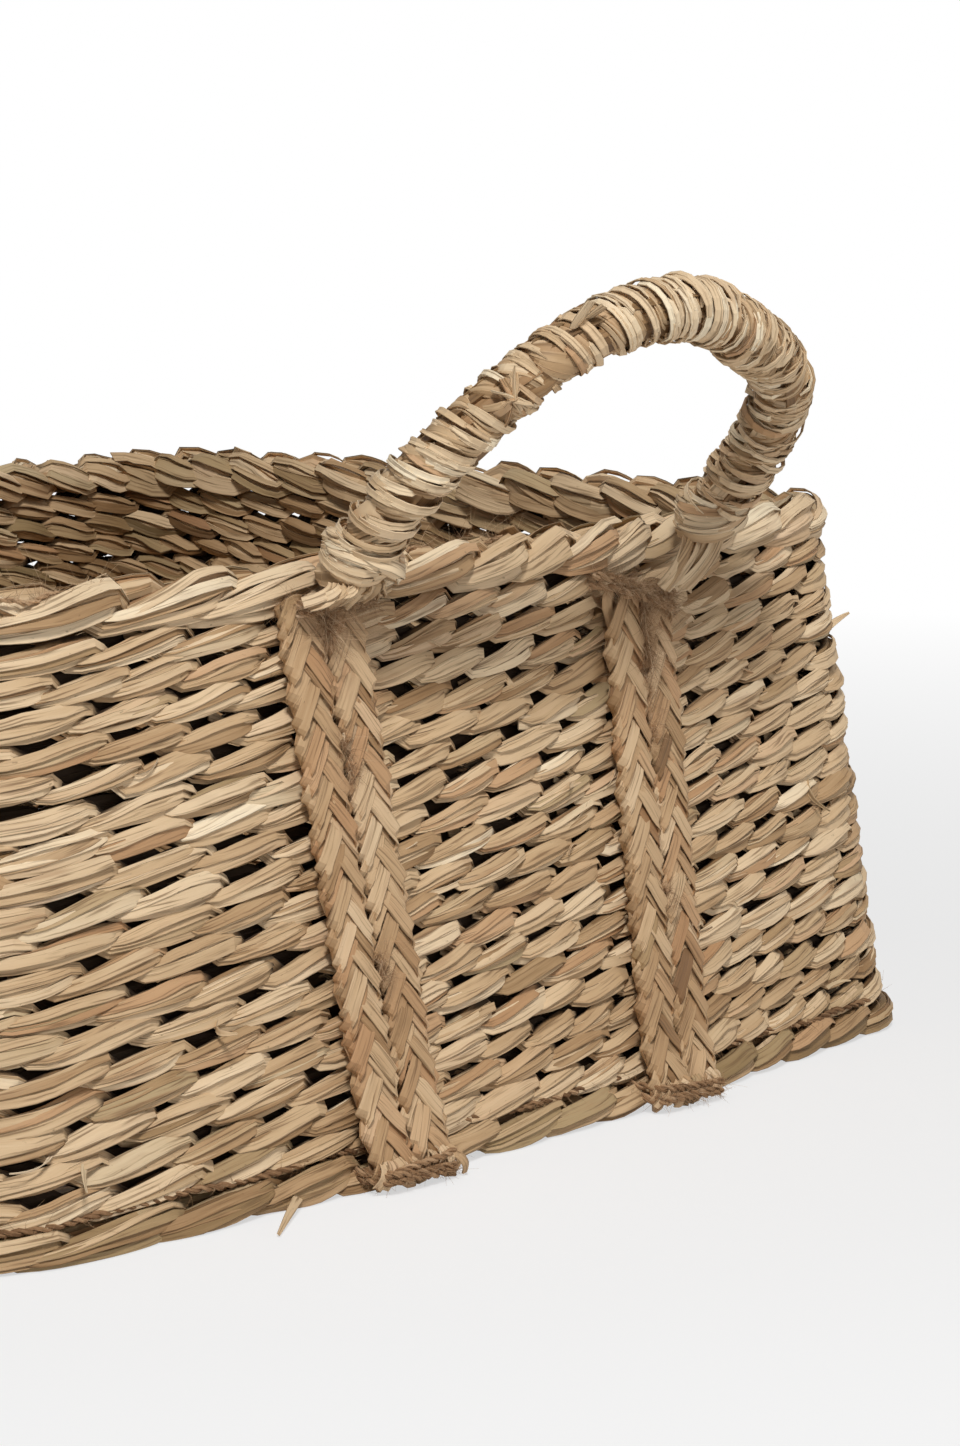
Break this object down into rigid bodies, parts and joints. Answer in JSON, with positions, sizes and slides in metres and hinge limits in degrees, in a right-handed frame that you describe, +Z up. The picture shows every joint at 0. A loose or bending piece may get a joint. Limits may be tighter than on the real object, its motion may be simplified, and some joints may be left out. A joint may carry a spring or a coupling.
{
  "type": "magazine basket",
  "caption": "Low rounded-rectangle seagrass basket wound from one long plait in eighteen level rows, with braided rim and base, plaited straps and an arched wrapped handle on each long face.",
  "frame": {"origin": "middle of the basket on the floor it stands on", "axes": "+Z up; X along the basket's length; Y across it, with a handle toward -Y and another toward +Y"},
  "size_m": [0.4652, 0.5472, 0.2751],
  "materials": {
    "seagrass_row": "dry plaited seagrass standing on its edge, pale straw to olive brown",
    "seagrass_braid": "dry plaited seagrass, pale straw",
    "seagrass_plait": "dry flat three-strand plait, warm tan",
    "seagrass_wrap": "dry seagrass leaves wound tightly, pale straw",
    "seagrass_mat": "dry woven seagrass, shaded",
    "handle_core": "bundled seagrass stems",
    "jute_twine": "hairy brown jute twine"
  },
  "bodies": {
    "basket": {"base_mat": "seagrass_mat", "base_edge_braid": "seagrass_braid", "base_seam_twine": "jute_twine", "wall_plait": "seagrass_row", "rim_braid": "seagrass_braid", "front_left_strap_plait_left": "seagrass_plait", "front_left_strap_plait_right": "seagrass_plait", "front_left_strap_twine": "jute_twine", "front_left_top_lashing": "jute_twine", "front_left_bottom_lashing": "jute_twine", "front_left_foot_wrap": "seagrass_wrap", "front_right_strap_plait_left": "seagrass_plait", "front_right_strap_plait_right": "seagrass_plait", "front_right_strap_twine": "jute_twine", "front_right_top_lashing": "jute_twine", "front_right_bottom_lashing": "jute_twine", "front_right_foot_wrap": "seagrass_wrap", "back_left_strap_plait_left": "seagrass_plait", "back_left_strap_plait_right": "seagrass_plait", "back_left_strap_twine": "jute_twine", "back_left_top_lashing": "jute_twine", "back_left_bottom_lashing": "jute_twine", "back_left_foot_wrap": "seagrass_wrap", "back_right_strap_plait_left": "seagrass_plait", "back_right_strap_plait_right": "seagrass_plait", "back_right_strap_twine": "jute_twine", "back_right_top_lashing": "jute_twine", "back_right_bottom_lashing": "jute_twine", "back_right_foot_wrap": "seagrass_wrap"},
    "front_handle": {"front_handle_core": "handle_core", "front_handle_wrap": "seagrass_wrap", "front_handle_tuck": "seagrass_wrap"},
    "back_handle": {"back_handle_core": "handle_core", "back_handle_wrap": "seagrass_wrap", "back_handle_tuck": "seagrass_wrap"}
  },
  "joints": [
    {"name": "front_handle_swing", "type": "hinge", "parent": "basket", "child": "front_handle", "pos_m": [0.012, -0.1971, 0.189], "axis": [1, 0, 0], "range_deg": [-51, 19]},
    {"name": "back_handle_swing", "type": "hinge", "parent": "basket", "child": "back_handle", "pos_m": [-0.012, 0.1971, 0.189], "axis": [-1, 0, 0], "range_deg": [-51, 19]}
  ]
}
